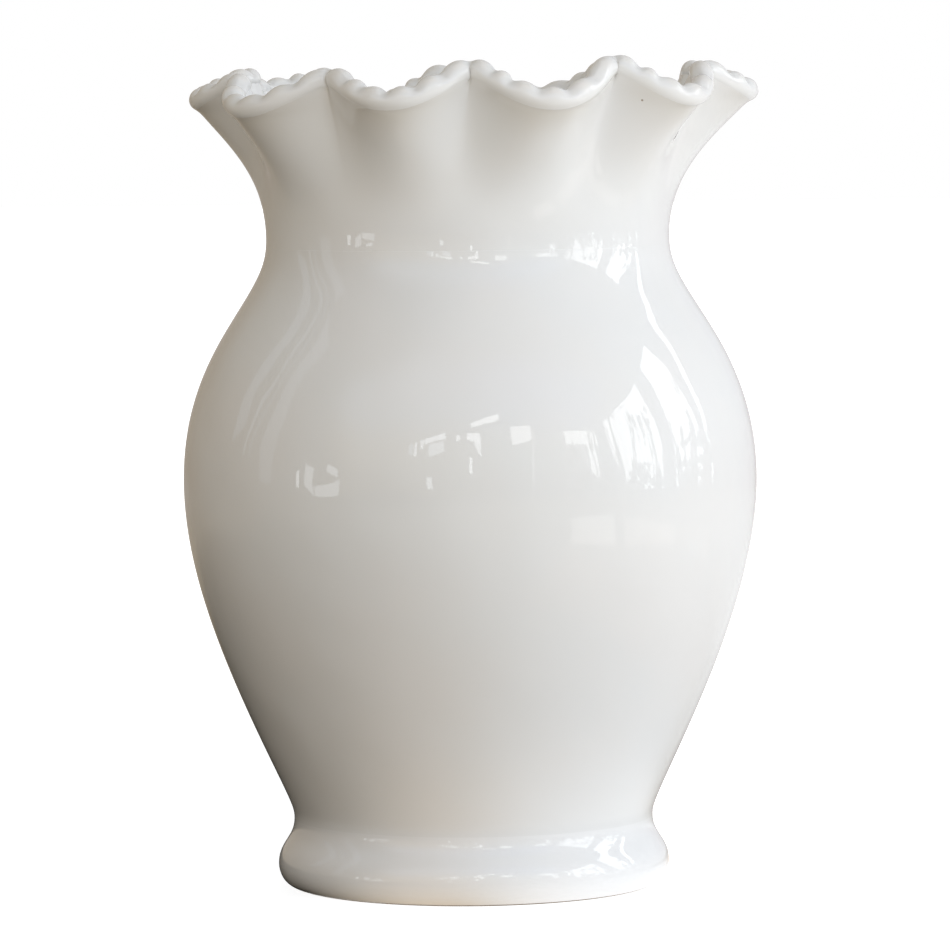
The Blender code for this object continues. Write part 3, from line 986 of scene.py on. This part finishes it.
def patches():
    """The light that falls through the windows onto the table."""
    for i, (start, end, share) in enumerate(PATCHES):
        name = f"patch_{i}"
        material, nodes = new_material(name, shaded=False)
        nodes.emit(PATCH_LIGHT, share)
        reaches = (PATCH_NEAR, PATCH_FAR)
        corners = [on_circle(degrees, reach, PATCH_HEIGHT) for degrees in (start, end) for reach in reaches]
        patch = card(name, corners, [(0, 1, 3, 2)], material)
        patch.visible_shadow = False


# The lamp behind the vase, and what it points at
BACK_LIGHT = 2.4
BACK_LIGHT_SIZE = (2.0, 1.6)
BACK_LIGHT_PLACE = Vector((-0.3, 2.2, 0.9))
BACK_LIGHT_TARGET = Vector((0.0, 0.0, 0.1))


def back_light():
    """A soft lamp behind the vase, which the glaze doesn't mirror, so that the back is lit plainly too."""
    lamp = bpy.data.lights.new("back_light", "AREA")
    lamp.shape = "RECTANGLE"
    lamp.size, lamp.size_y = BACK_LIGHT_SIZE
    lamp.energy = BACK_LIGHT * math.pi * lamp.size * lamp.size_y
    holder = placed("back_light", lamp)
    holder.location = BACK_LIGHT_PLACE
    holder.rotation_euler = (BACK_LIGHT_TARGET - BACK_LIGHT_PLACE).to_track_quat("-Z", "Y").to_euler()
    holder.visible_camera = False
    holder.visible_glossy = False


# The floor: half its width, its grey and glow to the lens and in reflections, and its colour to other rays
FLOOR_HALF = 12.0
FLOOR_GREY = (0.55, 0.55, 0.55)
FLOOR_GLOW = 0.93
FLOOR_BOUNCE = (0.40, 0.35, 0.30)


def floor():
    """A plain pale floor that keeps the vase's shadow."""
    mesh = bpy.data.meshes.new("floor")
    mesh.from_pydata(square(FLOOR_HALF, 0), [], [(0, 1, 2, 3)])
    material, nodes = new_material("floor_white", shaded=False)
    rays = nodes.node("ShaderNodeLightPath").outputs
    seen = nodes.math("ADD", rays["Is Camera Ray"], rays["Is Glossy Ray"], clamp=True)
    seen = nodes.math("ADD", seen, rays["Is Transmission Ray"], clamp=True)
    dim = nodes.add("ShaderNodeBsdfDiffuse", Color=rgba(FLOOR_BOUNCE))
    lit = nodes.add("ShaderNodeBsdfDiffuse", Color=rgba(FLOOR_GREY))
    glow = nodes.add("ShaderNodeEmission", Color=(1, 1, 1, 1), Strength=FLOOR_GLOW)
    both = nodes.add("ShaderNodeAddShader", i0=lit, i1=glow)
    nodes.surface(nodes.add("ShaderNodeMixShader", i0=seen, i1=dim, i2=both))
    mesh.materials.append(material)
    plane = placed("floor", mesh)


def world():
    """White all round, for whatever looks past the room."""
    shell = bpy.data.worlds.new("white")
    shell.use_nodes = True
    background = shell.node_tree.nodes["Background"]
    background.inputs["Color"].default_value = (1, 1, 1, 1)
    background.inputs["Strength"].default_value = 1.0
    bpy.context.scene.world = shell


# The camera: where it is, which way it looks, how far it is rolled, and its lens and sensor in millimetres
EYE = Vector((0.001525, -1.750, 0.240))
LOOK = Vector((0.0, 1.750, -0.114))
ROLL = math.radians(0.55)
FOCAL_LENGTH = 215.65
SENSOR_WIDTH = 36.0
FARTHEST_SEEN = 50.0


def camera():
    """The photo's view: from 1.75 m away, a little above, and rolled by half a degree."""
    view = bpy.data.cameras.new("camera")
    view.lens = FOCAL_LENGTH
    view.sensor_width = SENSOR_WIDTH
    view.clip_end = FARTHEST_SEEN
    ahead = LOOK.normalized()
    right = ahead.cross(Vector((0, 0, 1))).normalized()
    up = right.cross(ahead)
    rolled_right = right * math.cos(ROLL) - up * math.sin(ROLL)
    rolled_up = up * math.cos(ROLL) + right * math.sin(ROLL)
    axes = Matrix((rolled_right, rolled_up, -ahead)).transposed()
    holder = placed("camera", view)
    holder.matrix_world = Matrix.Translation(EYE) @ axes.to_4x4()
    bpy.context.scene.camera = holder


def vase():
    """The four glazed pieces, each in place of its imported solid."""
    foot_rings = turned_rings(foot_outline())
    body_rings = turned_rings(body_outline())
    collar_rings, collar_shade = collar()
    roll_rings, roll_shade, roll_crest = beaded_roll()
    roll_fields = {"painted_shade": roll_shade, "crest": roll_crest}
    pieces = (
        ("foot_ring", foot_rings, True, {}, glaze("foot_glaze", LIGHTENED_FOOT_WHITE, BARE_BELOW)),
        ("body", body_rings, False, {}, glaze("body_glaze", WHITE)),
        ("collar", collar_rings, True, {"painted_shade": collar_shade}, glaze("collar_glaze", WHITE)),
        ("beaded_edging", roll_rings, True, roll_fields, glaze("edging_glaze", WHITE)),
    )
    for node, rings, closed, fields, material in pieces:
        piece = piece_from_rings("glazed_" + node, rings, closed, fields, material)
        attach(piece, "root")
        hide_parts(node)


bpy.context.scene.view_settings.view_transform = "Standard"
vase()
floor()
room()
windows()
patches()
back_light()
world()
camera()
